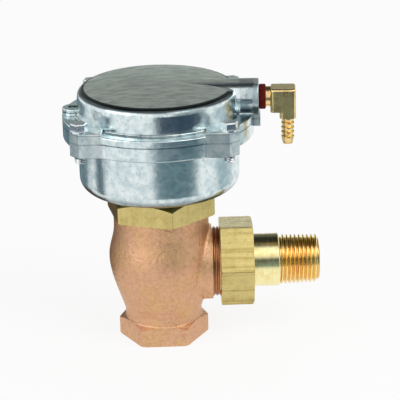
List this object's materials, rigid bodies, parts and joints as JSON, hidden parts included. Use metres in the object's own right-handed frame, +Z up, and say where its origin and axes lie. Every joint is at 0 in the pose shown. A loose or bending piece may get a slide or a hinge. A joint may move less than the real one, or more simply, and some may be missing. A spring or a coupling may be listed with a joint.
{
  "type": "pneumatic zone valve",
  "caption": "Angle pattern zone valve with a spring and diaphragm air actuator on top, a bottom female pipe inlet, a side union outlet and a barbed air elbow.",
  "frame": {"origin": "centre of the inlet port's face at the bottom of the body", "axes": "+Z up the stem towards the actuator, +X the way the outlet points"},
  "size_m": [0.1102, 0.0822, 0.1175],
  "materials": {
    "cast_bronze": "as cast",
    "drawn_brass": "drawn and brushed",
    "turned_brass": "turned",
    "cast_aluminium": "as die-cast",
    "plate_aluminium": "pressed",
    "steel": "plain",
    "bright_screw": "zinc plated",
    "spring_steel": "oiled",
    "black_rubber": "moulded",
    "white_ptfe": "turned",
    "fibre": "pressed sheet",
    "red_seal": "moulded"
  },
  "bodies": {
    "valve": {"valve_body": "cast_bronze", "bonnet": "drawn_brass", "bonnet_gasket": "fibre", "union_tailpiece": "turned_brass", "packing_rings": "white_ptfe", "packing_washer": "turned_brass", "packing_spring": "spring_steel", "gland_nut": "turned_brass", "lower_housing": "cast_aluminium", "housing_locknut": "steel", "return_spring": "spring_steel", "diaphragm": "black_rubber", "top_cover": "cast_aluminium", "cover_screws": "bright_screw", "elbow_seal": "red_seal", "air_elbow": "turned_brass"},
    "stem": {"stem": "steel", "disc_holder": "turned_brass", "seat_disc": "black_rubber", "disc_nut": "turned_brass", "diaphragm_plate": "plate_aluminium", "diaphragm_washer": "plate_aluminium", "stem_nut": "steel"},
    "union_nut": {"union_nut": "drawn_brass"}
  },
  "joints": [
    {"name": "stem_travel", "type": "slide", "parent": "valve", "child": "stem", "axis": [0, 0, -1], "range_m": [0, 0.0045], "stiffness_N_per_m": 17600, "springref_m": -0.0027, "deforming": ["return_spring", "diaphragm"]},
    {"name": "union_nut_turn", "type": "hinge", "parent": "valve", "child": "union_nut", "pos_m": [0.03276, 0, 0.0331], "axis": [1, 0, 0], "continuous": true}
  ]
}
